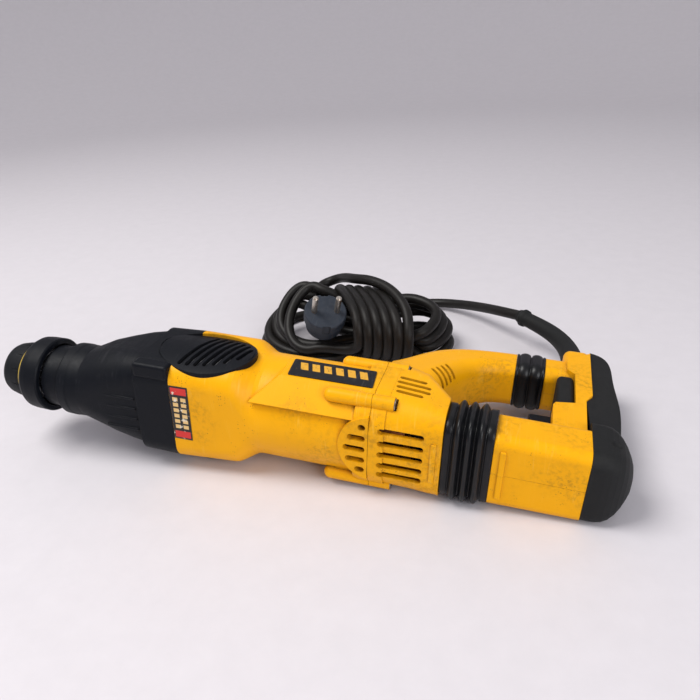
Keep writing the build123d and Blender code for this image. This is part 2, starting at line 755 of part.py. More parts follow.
# ---------------------------------------------------------------- vibration-damped handle
def bellows(x0, x1, spec, folds, collar, depth):
    """Rubber bellows: plain collars at both ends and sharp folds between them."""
    sections = [(x0, 0.0), (x0 + collar, 0.0)]
    pitch = (x1 - x0 - 2 * collar) / folds
    for i in range(folds):
        start = x0 + collar + pitch * i
        sections.append((start + pitch * 0.5, depth))
        if i < folds - 1:
            sections.append((start + pitch, -0.6))
    sections += [(x1 - collar, 0.0), (x1, 0.0)]
    outer = lofted([grown((x, *spec), by) for x, by in sections])
    inner = lofted([grown((x, *spec), by - 2.0) for x, by in sections])
    caps = block(x0 - 1, x0 + 0.01, -60, 150, -60, 60)
    bore = lofted([grown((x, *spec), -2.8) for x in (x0 - 1, x1 + 1)])
    return outer - inner - bore - caps


LARGE_BELLOWS = (-20.8, 10.6, -26.6, 28.6, 9.5)
SMALL_BELLOWS = (78.4, 105.4, -17.1, 17.1, 8.2)


def large_bellows():
    return bellows(REAR_END + 0.15, HANDLE_START - 0.15, LARGE_BELLOWS, 3, 4.6, 2.8)


def small_bellows():
    return bellows(ARM_END + 0.15, STUB_START - 0.15, SMALL_BELLOWS, 2, 1.6, 1.2)


def handle_outline():
    """Grip of the D between the two arms, seen from the side."""
    points = [
        (372.5, 2.0),
        (372.5, 36.0),
        (374.0, 39.0),
        (386.2, 41.5),
        (386.2, 79.0),
        (381.0, 84.0),
        (381.0, 100.0),
        (396.8, 112.0),
        (396.8, 54.0),
        (392.8, 46.0),
        (392.4, 6.0),
        (393.8, 1.0),
    ]
    return Polyline(*points, close=True)


def handle_solid():
    upper = lofted([UPPER_ARM_FRONT, UPPER_ARM_REAR])
    grip = Pos(0, 0, -19) * extrude(make_face(handle_outline()), 38)
    stub = lofted([(x, *STUB) for x in (STUB_START, 390.0)])
    corner = fillet(block(379.0, 397.0, 94.0, 116.4, -CORNER_HALF, CORNER_HALF).edges(), 5.0)
    corner &= block(379.0, 396.8, 90.0, 117.0, -CORNER_HALF, CORNER_HALF)
    lip = fillet(block(345.0, 348.6, -22.0, -18.0, -17.0, 17.0).edges(), 0.9)
    return upper + grip + stub + corner + lip


def handle_void():
    upper = lofted([grown(UPPER_ARM_FRONT, -2.6), grown(UPPER_ARM_REAR, -2.6)])
    upper = upper & block(345.0, 391.5, -60, 60, -60, 60)
    grip = block(376.5, 389.8, 0.0, 84.0, -16.4, 16.4) & block(370, 400, 0, 41, -60, 60)
    strip = block(388.6, 394.0, 40.0, 100.0, -16.4, 16.4)
    stub = lofted([grown((x, *STUB), -2.6) for x in (STUB_START + 3.0, 393.0)])
    void = upper + grip + strip + stub
    for z in DAMPER_Z:
        void += rod(340.0, 347.0, BUSH_RADIUS, DAMPER_Y, z)
    return void + rod(366.0, 374.0, BUSH_RADIUS, STUB_Y)


def handle_shell():
    shell = handle_solid() - handle_void()
    shell -= block(362.0, 378.0, 6.6, 36.6, -10.4, 10.4)
    shell -= rod_y(SLEEVE_START[0], 104.0, 120.0, 9.0)
    for x, y in HANDLE_SCREWS:
        shell -= Pos(x, y, (SCREW_END + 0.4) / 2 - 20.0) * Cylinder(1.7, SCREW_END + 40.4)
        seat = 16.0 if y > 80 else 20.0
        shell -= Pos(x, y, -seat - 7.0) * Cylinder(3.4, 14.0)
    return shell


def rod_y(x, y0, y1, radius, z=0.0):
    return Pos(x, (y0 + y1) / 2, z) * Rot(90, 0, 0) * Cylinder(radius, y1 - y0)


HANDLE_SCREWS = [(352.0, -12.0), (384.0, -12.0), (391.2, 60.0), (375.0, 98.0)]
SCREW_END = 15.0


def handle_right():
    return handle_shell() & block(330, 430, -60, 150, 0.05, 60)


def handle_left():
    return handle_shell() & block(330, 430, -60, 150, -60, -0.05)


def handle_screws():
    """Screws that go in through the left half and end in the right one."""
    screws = []
    for x, y in HANDLE_SCREWS:
        top, radius = (15.2, 2.4) if 20 < y < 80 else (21.3, 3.2)
        if y > 80:
            top = 17.2
        head = Pos(x, y, -top) * Cylinder(radius, 2.2) - Pos(x, y, -top - 1.4) * Box(4.4, 0.9, 2.0)
        screws.append(head + Pos(x, y, (SCREW_END - top) / 2) * Cylinder(1.6, SCREW_END + top))
    return Compound(children=screws)


def dome(x0, length, spec, steps):
    """Rounded end: sections that shrink along a quarter ellipse."""
    y0, y1, z0, z1, radius = spec
    specs = []
    for i in range(steps + 1):
        angle = math.pi / 2 * i / steps * 0.93
        pull = (1 - math.cos(angle)) * 0.86
        half_y = (y1 - y0) / 2 * (1 - pull)
        half_z = (z1 - z0) / 2 * (1 - pull)
        middle_y = (y0 + y1) / 2
        corner = min(radius + 10 * pull, half_y - 0.2, half_z - 0.2)
        x = x0 + length * math.sin(angle) / math.sin(math.pi / 2 * 0.93)
        specs.append((x, middle_y - half_y, middle_y + half_y, -half_z, half_z, corner))
    return lofted(specs)


def end_cap():
    spec = (-22.2, 19.6, -HANDLE_HALF, HANDLE_HALF, 9.0)
    base = lofted([(394.2, -21.8, 19.0, -HANDLE_HALF, HANDLE_HALF, 8.0), (CAP_FLAT_END, *spec)])
    cap = base + dome(CAP_FLAT_END, TOOL_LENGTH - CAP_FLAT_END, spec, 7)
    dimple = Pos(408.5, -3.0, 25.0) * Sphere(4.0)
    return cap - dimple


def rear_grip():
    """Soft rubber skin over the back of the grip."""
    inner = Polyline((394.4, 19.9), (393.0, 45.6), (397.0, 53.8), (397.0, 116.2))
    outer = Spline((397.0, 116.2), (405.5, 117.0), (412.0, 90.0), (414.6, 56.0), (413.0, 19.9))
    close = Line((413.0, 19.9), (394.4, 19.9))
    solid = Pos(0, 0, -19.5) * extrude(make_face([*inner.edges(), outer, close]), 39)
    front = Pos(390, 68, 0) * Rot(0, 90, 0) * Rectangle(39, 110)
    back = Pos(420, 68, 0) * Rot(0, 90, 0) * Rectangle(20, 110)
    return solid & loft([front, back])


def grip_pad():
    return fillet(block(375.0, 386.0, 42.2, 79.0, -17.0, 17.0).edges(), 3.4)


def trigger():
    """Finger lever: curved face outside, stem inside the grip."""
    outline = [
        (358.6, 35.4),
        (360.2, 22.0),
        (358.2, 12.0),
        (361.5, 10.0),
        (377.5, 10.0),
        (377.5, 35.8),
        (361.0, 35.8),
    ]
    face = make_face(Polyline(*outline, close=True))
    lever = Pos(0, 0, -9.6) * extrude(face, 19.2)
    lever = fillet(lever.edges().filter_by(Axis.Z), 1.4)
    lever = fillet(lever.edges().group_by(Axis.Z)[-1] + lever.edges().group_by(Axis.Z)[0], 1.0)
    return lever


def switch_body():
    return soft_block(384.2, 389.6, 8.0, 38.0, -10.0, 10.0, 0.8)


def trigger_spring():
    return coil_spring(377.9, 384.0, 3.6, 0.5, 4, 22.0)


def damper_guides():
    """Steel pins that the handle slides on, each pair on its own plate."""
    upper = lofted([grown(s, -WALL - 0.15) for s in REAR_SECTIONS]) & block(300.6, 303.6, -30, 6, -60, 60)
    for z in DAMPER_Z:
        upper += rod(303.0, 354.0, GUIDE_RADIUS, DAMPER_Y, z)
    lower = lofted([(x, 82.8, 100.6, -13.2, 13.2, 5.0) for x in (338.0, 341.0)])
    lower += rod(340.0, 378.0, GUIDE_RADIUS, STUB_Y)
    return Compound(children=[upper, lower])


def damper_springs():
    coils = [coil_spring(312.4, 340.8, 5.2, 0.8, 7, DAMPER_Y, z) for z in DAMPER_Z]
    return Compound(children=coils)


def handle_bushes():
    bushes = [sleeve(341.4, 347.0, BUSH_RADIUS, GUIDE_RADIUS + 0.1, DAMPER_Y, z) for z in DAMPER_Z]
    bushes.append(sleeve(367.2, 372.0, BUSH_RADIUS, GUIDE_RADIUS + 0.1, STUB_Y))
    return Compound(children=bushes)


# ---------------------------------------------------------------- cord
SLEEVE_START = (388.0, 107.0)
SLEEVE_POINTS = [
    # x, y, heading in degrees, radius
    (*SLEEVE_START, 90.0, 8.6),
    (388.0, 120.0, 90.0, 8.6),
    (387.2, 136.0, 97.0, 8.0),
    (383.0, 155.0, 109.0, 7.3),
    (374.0, 173.0, 124.0, 6.8),
    (361.5, 187.5, 136.0, 6.4),
    (350.5, 197.5, 139.0, 6.1),
]
SLEEVE_LIP = 8.0


def sleeve_mouth():
    """Where the cord leaves the sleeve."""
    x, y, heading, _ = SLEEVE_POINTS[-1]
    turn = math.radians(heading)
    return (x + SLEEVE_LIP * math.cos(turn), y + SLEEVE_LIP * math.sin(turn), 0.0)


def strain_relief():
    """Long rubber sleeve round the cord, tapered, with a flared mouth."""
    rings = []
    for x, y, heading, radius in SLEEVE_POINTS:
        turn = math.radians(heading)
        plane = Plane(origin=(x, y, 0), x_dir=(0, 0, 1), z_dir=(math.cos(turn), math.sin(turn), 0))
        rings.append(plane * Circle(radius))
    flare = [
        (-3.0, 0.0),
        (-3.0, 5.0),
        (0.6, 7.3),
        (3.4, 7.5),
        (5.0, 6.2),
        (SLEEVE_LIP, 5.4),
        (SLEEVE_LIP, 0.0),
    ]
    x, y, heading, _ = SLEEVE_POINTS[-1]
    return loft(rings) + Pos(x, y, 0) * Rot(0, 0, heading) * turned(flare)


def floor_move(shapes):
    """Rigid move that lays the tool down: tilt it, drop it on the floor, centre it."""
    tilted = Compound(children=[Rot(0, TILT, 0) * shape for shape in shapes])
    box = tilted.bounding_box()
    return Pos(-(box.min.X + box.max.X) / 2, -(box.min.Y + box.max.Y) / 2, -box.min.Z) * Rot(0, TILT, 0)


# From here on, places are on the floor: z is the height above it and the origin is under the tool's middle.
CORD_ROUTE = [
    # from the sleeve's mouth, down to the floor behind the tool and into the coil
    (117.0, 173.2, 24.6),
    (96.5, 197.5, 16.6),
    (75.0, 215.5, 10.2),
    (53.5, 225.0, 6.2),
    (35.0, 223.5, 4.9),
    (21.0, 213.0, 5.6),
]
COIL_LEVELS = [
    # height, x from, x to, y from, y to, corner radius
    (FLOOR_GAP, -92.0, 76.0, 66.0, 206.0, 56.0),
    (14.0, -100.0, 84.0, 57.0, 216.0, 64.0),
    (34.0, -101.0, 82.0, 56.0, 215.0, 64.0),
    (50.0, -88.0, 70.0, 64.0, 202.0, 56.0),
    (64.0, -50.0, 55.0, 88.0, 182.0, 44.0),
]
PLUG_FACE = (-20.1, 94.1, 50.0)
PLUG_LEAN = 31.0
PLUG_TURN = 34.5
PLUG_ROLL = -13.0
PLUG_RADIUS = 17.8
PLUG_BACK = -26.0
NECK_LEVEL = -12.0
NECK_LENGTH = 36.0
NECK_TILT = 30.0
PIN_SPACING = 19.0
PIN_RADIUS = 2.4
PIN_LENGTH = 19.0


def smooth_path(points):
    """Straight runs joined by arcs as large as the runs allow; prints the radii."""
    corners = [Vector(*p) for p in points]
    radii = []
    for before, corner, after in zip(corners, corners[1:], corners[2:]):
        run_in = corner - before
        run_out = after - corner
        turn = math.radians(run_in.get_angle(run_out))
        radii.append(0.45 * min(run_in.length, run_out.length) / math.tan(turn / 2))
    print("cord radii", [round(r, 1) for r in radii])
    return FilletPolyline(*corners, radius=radii)


def cord_tube(start):
    path = smooth_path([start, *CORD_ROUTE])
    profile = Plane(origin=path @ 0, z_dir=path % 0) * Circle(CORD_RADIUS)
    tube = sweep(profile, path=path)
    print("tube volume", round(tube.volume), "of", round(path.length * math.pi * CORD_RADIUS**2))
    return tube


def cord_coil():
    """Outer shape of the wound cord, with a well where the plug is stuck into it."""
    levels = []
    for height, x0, x1, y0, y1, radius in COIL_LEVELS:
        outline = RectangleRounded(x1 - x0, y1 - y0, radius)
        levels.append(Pos((x0 + x1) / 2, (y0 + y1) / 2, height) * outline)
    well = Cylinder(PLUG_RADIUS + 1.2, 60.0)
    well += neck_frame() * Pos(0, (NECK_LENGTH + 2.0) / 2, 20.0) * Box(24.0, NECK_LENGTH + 2.0, 64.0)
    return loft(levels, ruled=True) - plug_frame() * well


def plug_frame():
    """Local +Z along the pins, local +X from pin to pin, origin at the middle of the face."""
    return Pos(*PLUG_FACE) * Rot(0, 0, PLUG_TURN) * Rot(PLUG_LEAN, 0, 0) * Rot(0, 0, PLUG_ROLL)


def neck_frame():
    """Local +Y along the neck, in the plug's frame."""
    return Pos(0, 0, NECK_LEVEL) * Rot(-NECK_TILT, 0, 0)


def plug_body():
    """Round two-pin plug body with notches at its edge and a side neck for the cord."""
    outline = [
        (0.0, 0.0),
        (0.0, PLUG_RADIUS - 0.8),
        (-0.8, PLUG_RADIUS),
        (-9.0, PLUG_RADIUS),
        (-10.0, PLUG_RADIUS - 1.4),
        (-20.0, PLUG_RADIUS - 2.4),
        (-24.4, PLUG_RADIUS - 5.0),
        (PLUG_BACK, PLUG_RADIUS - 9.0),
        (PLUG_BACK, 0.0),
    ]
    neck = [
        (6.0, 0.0),
        (6.0, 10.4),
        (16.0, 10.0),
        (25.0, 8.2),
        (33.0, 6.6),
        (NECK_LENGTH, 5.6),
        (NECK_LENGTH, 0.0),
    ]
    body = Rot(0, -90, 0) * turned(outline)
    body += neck_frame() * Rot(0, 0, 90) * turned(neck)
    for side in (1, -1):
        body -= Pos(0, side * 17.6, -4.0) * Box(6.4, 3.6, 12.0)
        body -= Pos(side * PIN_SPACING / 2, 0, -6.0) * Cylinder(PIN_RADIUS, 13.0)
    return plug_frame() * body


def plug_pins():
    pins = []
    for side in (1, -1):
        middle = Pos(side * PIN_SPACING / 2, 0, (PIN_LENGTH - 12.0) / 2)
        pin = middle * Cylinder(PIN_RADIUS, PIN_LENGTH + 12.0)
        pins.append(plug_frame() * chamfer(pin.edges().group_by(Axis.Z)[-1], 1.2))
    return Compound(children=pins)


TOOL_PIECES = [
    spindle, locking_balls, dust_cap, retaining_ring, locking_collar, spring_seat, collar_spring,
    spindle_gear, beat_piece, striker, striker_ring, piston, piston_pin, wobble_ring, wobble_hub, layshaft,
    layshaft_gear, armature_shaft, armature_core, armature_windings, commutator, cooling_fan,
    field_stator, field_coils, brush_holders, carbon_brushes, gear_case, bulkhead,
    spindle_bearing, motor_front_bearing, motor_rear_bearing, layshaft_bearings, bearing_bracket,
    nose_cover, vent_plate, motor_housing, rear_housing, arm_cover, housing_screws, label_plate,
    mode_knob, large_bellows, small_bellows, handle_right, handle_left, handle_screws, end_cap,
    rear_grip, grip_pad, trigger, switch_body, trigger_spring, damper_guides, damper_springs,
    handle_bushes,
]


def main():
    os.makedirs("parts", exist_ok=True)
    tool = {make.__name__: make() for make in TOOL_PIECES}
    lay = floor_move(tool.values())
    laid = {name: lay * shape for name, shape in tool.items()}
    laid["strain_relief"] = lay * strain_relief()
    mouth = lay * Pos(*sleeve_mouth())
    laid["cord_tube"] = cord_tube(tuple(mouth.position))
    laid["cord_coil"] = cord_coil()
    laid["plug_body"] = plug_body()
    laid["plug_pins"] = plug_pins()
    print("origin", tuple(lay.position), "tilt", round(TILT, 3), "mouth", tuple(mouth.position))
    for name, shape in laid.items():
        export_step(shape, f"parts/{name}.step")


main()
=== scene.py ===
import json
import math

import bpy
from mathutils import Matrix, Vector
from mathutils.bvhtree import BVHTree


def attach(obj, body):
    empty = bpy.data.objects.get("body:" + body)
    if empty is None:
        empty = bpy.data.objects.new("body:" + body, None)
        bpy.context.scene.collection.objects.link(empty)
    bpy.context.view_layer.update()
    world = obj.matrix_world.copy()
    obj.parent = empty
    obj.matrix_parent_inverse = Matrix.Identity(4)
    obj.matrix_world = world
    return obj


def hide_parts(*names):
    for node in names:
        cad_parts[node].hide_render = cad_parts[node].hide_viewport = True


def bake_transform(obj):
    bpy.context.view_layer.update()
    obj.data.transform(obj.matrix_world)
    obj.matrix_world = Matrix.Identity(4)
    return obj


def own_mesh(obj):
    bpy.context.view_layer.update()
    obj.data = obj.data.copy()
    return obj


# Looks of a corded rotary hammer that lies on its side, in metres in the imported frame.
# Places on the tool are given in the tool's own millimetres (x nose to rear, y towards the underside,
# z towards the right side) and go through at(). The cord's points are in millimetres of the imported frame.

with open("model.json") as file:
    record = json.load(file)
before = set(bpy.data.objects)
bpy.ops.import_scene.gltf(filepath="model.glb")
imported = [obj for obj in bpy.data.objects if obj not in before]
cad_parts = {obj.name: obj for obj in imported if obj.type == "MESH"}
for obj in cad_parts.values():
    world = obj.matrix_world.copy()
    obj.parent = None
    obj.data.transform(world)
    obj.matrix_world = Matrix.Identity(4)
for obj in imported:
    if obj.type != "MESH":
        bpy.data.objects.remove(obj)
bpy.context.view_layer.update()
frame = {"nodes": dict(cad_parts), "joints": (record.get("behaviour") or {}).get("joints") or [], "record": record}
MM = 0.001


def joint(name):
    return next(j for j in frame["joints"] if j["name"] == name)


TOOL_X = Vector(joint("armature_spin")["axis"])
TOOL_Y = Vector((0.0, 1.0, 0.0))
TOOL_Z = Vector(joint("mode_turn")["axis"])
MOTOR_PLACE = (230.0, 11.5, 0.0)


def along(x, y, z):
    return (TOOL_X * x + TOOL_Y * y + TOOL_Z * z) * MM


ORIGIN = Vector(joint("armature_spin")["pos_m"]) - along(*MOTOR_PLACE)


def at(x, y, z):
    """A place on the tool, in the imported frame."""
    return ORIGIN + along(x, y, z)


# ---------------------------------------------------------------- camera
# place in metres, angles in degrees, lens and sensor in millimetres
CAMERA_PLACE = (0.1521, -0.3781, 0.2721)
CAMERA_YAW = 17.96
CAMERA_PITCH = 27.36
CAMERA_ROLL = -3.73
CAMERA_LENS = 33.79
CAMERA_SENSOR = 36.0


def make_camera():
    data = bpy.data.cameras.new("camera")
    data.lens = CAMERA_LENS
    data.sensor_width = CAMERA_SENSOR
    data.clip_start = 0.01
    camera = bpy.data.objects.new("camera", data)
    yaw, pitch, roll = (math.radians(a) for a in (CAMERA_YAW, CAMERA_PITCH, CAMERA_ROLL))
    level = Vector((math.cos(yaw), math.sin(yaw), 0.0))
    ahead = Vector((-math.sin(yaw) * math.cos(pitch), math.cos(yaw) * math.cos(pitch), -math.sin(pitch)))
    up = level.cross(ahead)
    right = level * math.cos(roll) + up * math.sin(roll)
    above = up * math.cos(roll) - level * math.sin(roll)
    turn = Matrix((right, above, -ahead)).transposed().to_4x4()
    camera.matrix_world = Matrix.Translation(CAMERA_PLACE) @ turn
    bpy.context.scene.collection.objects.link(camera)
    bpy.context.scene.camera = camera


make_camera()

# ---------------------------------------------------------------- cord
CORD_RADIUS = 0.0044
CORD_ROUTE = [
    # from the sleeve's mouth, down to the floor behind the tool and into the coil
    (134.7, 157.1, 28.5),
    (117.0, 173.2, 24.6),
    (96.5, 197.5, 16.6),
    (75.0, 215.5, 10.2),
    (53.5, 225.0, 6.2),
    (35.0, 223.5, 4.9),
    (21.0, 213.0, 5.6),
    (6.0, 202.0, 4.8),
]
LEFT_LOOPS = [
    # left end, then middle x, y and z of the near side and of the far side
    (-94.0, -38.0, 86.0, 4.7, -62.0, 184.0, 4.7),
    (-89.0, -38.0, 96.0, 4.7, -71.0, 158.0, 27.0),
    (-83.0, -38.0, 105.0, 5.6, -62.0, 158.0, 36.0),
    (-74.0, -38.0, 99.5, 13.2, -57.0, 148.0, 50.0),
    (-62.0, -38.0, 89.0, 14.0, -46.0, 141.0, 53.0),
]
RIGHT_LOOPS = [
    # the same, with the right end first
    (78.0, 54.0, 105.0, 4.7, 30.0, 170.0, 8.0),
    (76.0, 54.0, 112.0, 12.0, 28.0, 173.0, 22.0),
    (72.0, 54.0, 108.0, 20.0, 26.0, 165.0, 32.0),
    (68.0, 54.0, 103.0, 30.0, 25.0, 152.0, 43.0),
]
# where a turn passes through the wraps: x of its points, then y and z for each turn
NEAR_TIE = (8.0, 26.0, 45.0)
NEAR_SLOTS = [(110.0, 15.0), (119.0, 14.0), (114.0, 24.5), (103.5, 25.0)]
FAR_TIE = (2.0, -15.0)
FAR_SLOTS = [(130.0, 14.0), (146.0, 19.0), (147.0, 29.5), (139.0, 37.0)]
# where a turn comes out of the wraps on its far side, on the way to the next left loop
FAR_RISES = [(-31.0, 139.0, 14.0), (-32.0, 150.0, 22.0), (-30.0, 149.0, 43.0), (-28.0, 139.0, 47.0)]
# the wraps' oval: middle and half size in y and z, then where it starts, its pitch and its slant along x
WRAP_MIDDLE = (124.0, 28.4)
WRAP_HALF = (37.0, 24.2)
WRAP_START = 10.0
WRAP_PITCH = 8.4
WRAP_SKEW = 45.0
WRAP_SQUARENESS = 0.78
WRAP_ANGLES = range(-20, 1790, 30)
LEFT_ANGLES = range(-30, 211, 30)
RIGHT_ANGLES = range(165, 0, -30)
LAST_ARC = [
    # from the last wrap over the top of the hank, and round into the plug's neck
    (51.0, 90.0, 36.0),
    (47.5, 104.0, 48.5),
    (37.5, 118.5, 55.5),
    (23.0, 131.5, 60.0),
    (6.0, 141.0, 61.0),
    (-9.0, 149.0, 58.0),
    (-20.5, 161.0, 54.0),
    (-31.0, 171.5, 49.0),
    (-40.5, 173.5, 45.0),
    (-48.5, 168.0, 42.5),
    (-49.5, 158.5, 40.8),
    (-43.3, 145.1, 39.9),
    (-37.8, 132.3, 39.9),
]


def half_turn(end, near_x, near_y, near_z, far_x, far_y, far_z, angles):
    """Half of an oval turn, from its far side at 0 degrees to its near side at 180."""
    points = []
    for angle in angles:
        turn = math.radians(angle)
        share = (1 + math.cos(turn)) / 2
        middle = near_x + (far_x - near_x) * share
        y = near_y + (far_y - near_y) * share
        z = near_z + (far_z - near_z) * share
        points.append((middle + (end - middle) * math.sin(turn), y, z))
    return points


def hank_points():
    """The oval turns that lie flat, tied in their middle by the wraps."""
    points = []
    for i, left in enumerate(LEFT_LOOPS):
        points += half_turn(*left, LEFT_ANGLES)
        if i < len(RIGHT_LOOPS):
            points += [(x, *NEAR_SLOTS[i]) for x in NEAR_TIE]
            points += half_turn(*RIGHT_LOOPS[i], RIGHT_ANGLES)
            points += [(x, *FAR_SLOTS[i]) for x in FAR_TIE]
            points.append(FAR_RISES[i])
    return points


def squarish(value):
    return math.copysign(abs(value) ** WRAP_SQUARENESS, value)


def wrap_points():
    """The slanted turns round the middle of the hank, from left to right."""
    points = []
    for angle in WRAP_ANGLES:
        turn = math.radians(angle)
        near = squarish(math.cos(turn))
        x = WRAP_START + WRAP_PITCH * angle / 360 - WRAP_SKEW * (1 - near) / 2
        y = WRAP_MIDDLE[0] - WRAP_HALF[0] * near
        z = WRAP_MIDDLE[1] + WRAP_HALF[1] * squarish(math.sin(turn))
        points.append((x, y, z))
    return points


def make_cord():
    points = CORD_ROUTE + hank_points() + wrap_points() + LAST_ARC
    data = bpy.data.curves.new("mains_cord", "CURVE")
    data.dimensions = "3D"
    data.bevel_depth = 1.0  # the points carry the radius, so that the curve's own box is right
    data.bevel_resolution = 6
    data.resolution_u = 6
    data.use_fill_caps = True
    line = data.splines.new("NURBS")
    line.points.add(len(points) - 1)
    for point, place in zip(line.points, points):
        point.co = (*[value * MM for value in place], 1.0)
        point.radius = CORD_RADIUS
    line.order_u = 3
    line.use_endpoint_u = True
    cord = bpy.data.objects.new("mains_cord", data)
    bpy.context.scene.collection.objects.link(cord)
    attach(cord, "handle")
    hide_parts("cord_tube", "cord_coil")
    return cord


mains_cord = make_cord()


# ---------------------------------------------------------------- material tools
class Paint:
    """A small builder for one node material. Colours are linear."""

    def __init__(self, name):
        self.material = bpy.data.materials.new(name)
        self.material.use_nodes = True
        self.nodes = self.material.node_tree.nodes
        self.links = self.material.node_tree.links
        self.nodes.clear()
        self.shader = self.nodes.new("ShaderNodeBsdfPrincipled")
        output = self.nodes.new("ShaderNodeOutputMaterial")
        self.links.new(self.shader.outputs[0], output.inputs[0])
        self.place = self.nodes.new("ShaderNodeTexCoord").outputs["Object"]

    def feed(self, socket, value):
        if isinstance(value, bpy.types.NodeSocket):
            self.links.new(value, socket)
        elif hasattr(value, "__len__") and len(value) == 3 and len(socket.default_value) == 4:
            socket.default_value = (*value, 1.0)
        else:
            socket.default_value = value

    def noise(self, scale, detail=2.0, rough=0.5, stretch=None, turn=(0.0, 0.0, 0.0)):
        node = self.nodes.new("ShaderNodeTexNoise")
        place = self.place
        if stretch:
            mapping = self.nodes.new("ShaderNodeMapping")
            mapping.inputs["Scale"].default_value = stretch
            mapping.inputs["Rotation"].default_value = turn
            self.links.new(place, mapping.inputs["Vector"])
            place = mapping.outputs[0]
        self.links.new(place, node.inputs["Vector"])
        node.inputs["Scale"].default_value = scale
        node.inputs["Detail"].default_value = detail
        node.inputs["Roughness"].default_value = rough
        return node.outputs["Fac"]

    def cells(self, scale):
        node = self.nodes.new("ShaderNodeTexVoronoi")
        self.links.new(self.place, node.inputs["Vector"])
        node.inputs["Scale"].default_value = scale
        return node.outputs["Distance"]

    def spread(self, value, low, high, to_low=0.0, to_high=1.0):
        node = self.nodes.new("ShaderNodeMapRange")
        self.feed(node.inputs["Value"], value)
        numbers = {"From Min": low, "From Max": high, "To Min": to_low, "To Max": to_high}
        for name, number in numbers.items():
            node.inputs[name].default_value = number
        return node.outputs["Result"]

    def math(self, operation, a, b=0.0):
        node = self.nodes.new("ShaderNodeMath")
        node.operation = operation
        self.feed(node.inputs[0], a)
        self.feed(node.inputs[1], b)
        return node.outputs[0]

    def mix(self, share, a, b):
        node = self.nodes.new("ShaderNodeMix")
        node.data_type = "RGBA"
        self.feed(node.inputs["Factor"], share)
        self.feed(node.inputs[6], a)
        self.feed(node.inputs[7], b)
        return node.outputs[2]

    def creases(self, reach):
        """1 in corners and gaps, 0 on open faces."""
        node = self.nodes.new("ShaderNodeAmbientOcclusion")
        node.samples = 4
        node.inputs["Distance"].default_value = reach
        return self.spread(node.outputs["AO"], 0.75, 0.35)

    def bump(self, height, depth, strength, soft_edge=0.0):
        node = self.nodes.new("ShaderNodeBump")
        node.inputs["Strength"].default_value = strength
        node.inputs["Distance"].default_value = depth
        self.links.new(height, node.inputs["Height"])
        if soft_edge:
            edge = self.nodes.new("ShaderNodeBevel")
            edge.samples = 3
            edge.inputs["Radius"].default_value = soft_edge
            self.links.new(edge.outputs[0], node.inputs["Normal"])
        self.links.new(node.outputs[0], self.shader.inputs["Normal"])

    def set(self, **values):
        """Give the shader its values and return the finished material."""
        for name, value in values.items():
            self.feed(self.shader.inputs[name.replace("_", " ")], value)
        return self.material


# scales are in cells per metre, reaches and depths in metres
SCRATCH_SCALE = 260.0
SCRATCH_TURNS = (0.4, 1.3, 2.2)
SCRATCH_SHARPNESS = 60.0
SCRATCH_PATCHES = 55.0


def scratches(paint):
    """Thin straight scratches in a few directions, 0 to 1."""
    total = 0.0
    for turn in SCRATCH_TURNS:
        streaks = paint.noise(
            SCRATCH_SCALE, 1.0, 0.5, stretch=(1.0, 0.04, 0.04), turn=(0.3 * turn, 0.5 * turn, turn)
        )
        off_line = paint.math("ABSOLUTE", paint.math("SUBTRACT", streaks, 0.5))
        line = paint.math("SUBTRACT", 1.0, paint.math("MULTIPLY", off_line, SCRATCH_SHARPNESS))
        where = paint.noise(SCRATCH_PATCHES, 2.0, 0.5, stretch=(1.0, 1.0, 1.0), turn=(turn, 0.0, 0.0))
        line = paint.math("MULTIPLY", paint.spread(line, 0.0, 1.0), paint.spread(where, 0.55, 0.68))
        total = paint.math("MAXIMUM", total, line)
    return total


MOTTLE_SCALE = 14.0
SMUDGE_SCALE = 300.0
SPECK_SCALE = 620.0
SPECK_PATCHES = 70.0
# reach of the painted shade and grime in creases and gaps
CREASE_GRIME_AND_SHADE_REACH = 0.005
GRAIN_SCALE = 1500.0
GRAIN_DEPTH = 0.00006
MOULDED_EDGE = 0.0005


def moulded(name, colour, grime_and_shade, rough, wear, dirt_and_shade, gloss=0.3, art=None):
    """Used moulded plastic: faint mottling, grime and painted shade in the creases, grime in patches, specks and
    scratches.
    """
    paint = Paint(name)
    broad = paint.noise(MOTTLE_SCALE, 4.0, 0.6)
    fine = paint.noise(SMUDGE_SCALE, 5.0, 0.7)
    base = paint.mix(paint.spread(broad, 0.3, 0.75), colour, [c * 0.88 for c in colour])
    if art:
        base = art(paint, base)
    smears = paint.math("MULTIPLY", paint.spread(broad, 0.50, 0.68), paint.spread(fine, 0.46, 0.64))
    # painted shade and grime: an ambient occlusion mask mixes the grime colour into creases and gaps, darkening
    # the yellow plastics there as shade would
    corners = paint.math("MULTIPLY", paint.creases(CREASE_GRIME_AND_SHADE_REACH), paint.spread(fine, 0.25, 0.75, 0.35, 1.0))
    patches = paint.spread(paint.noise(SPECK_PATCHES, 3.0), 0.58, 0.66)
    specks = paint.math("MULTIPLY", paint.spread(paint.cells(SPECK_SCALE), 0.24, 0.10), patches)
    specks_and_crease_shade = paint.math("MAXIMUM", corners, specks)
    soiled_and_shaded = paint.math("MAXIMUM", paint.math("MULTIPLY", smears, 0.45), specks_and_crease_shade)
    base = paint.mix(paint.math("MULTIPLY", soiled_and_shaded, dirt_and_shade), base, grime_and_shade)
    lines = scratches(paint)
    base = paint.mix(paint.math("MULTIPLY", lines, 0.3), base, wear)
    grain = paint.noise(GRAIN_SCALE, 2.0, 0.5)
    height = paint.math("SUBTRACT", grain, paint.math("MULTIPLY", lines, 1.2))
    paint.bump(height, GRAIN_DEPTH, 0.6, MOULDED_EDGE)
    shine = paint.spread(fine, 0.2, 0.8, rough - 0.06, rough + 0.10)
    shine = paint.math("ADD", shine, paint.math("MULTIPLY", soiled_and_shaded, 0.22))
    return paint.set(Base_Color=base, Roughness=shine, Specular_IOR_Level=gloss)


DUST_REACH = 0.003


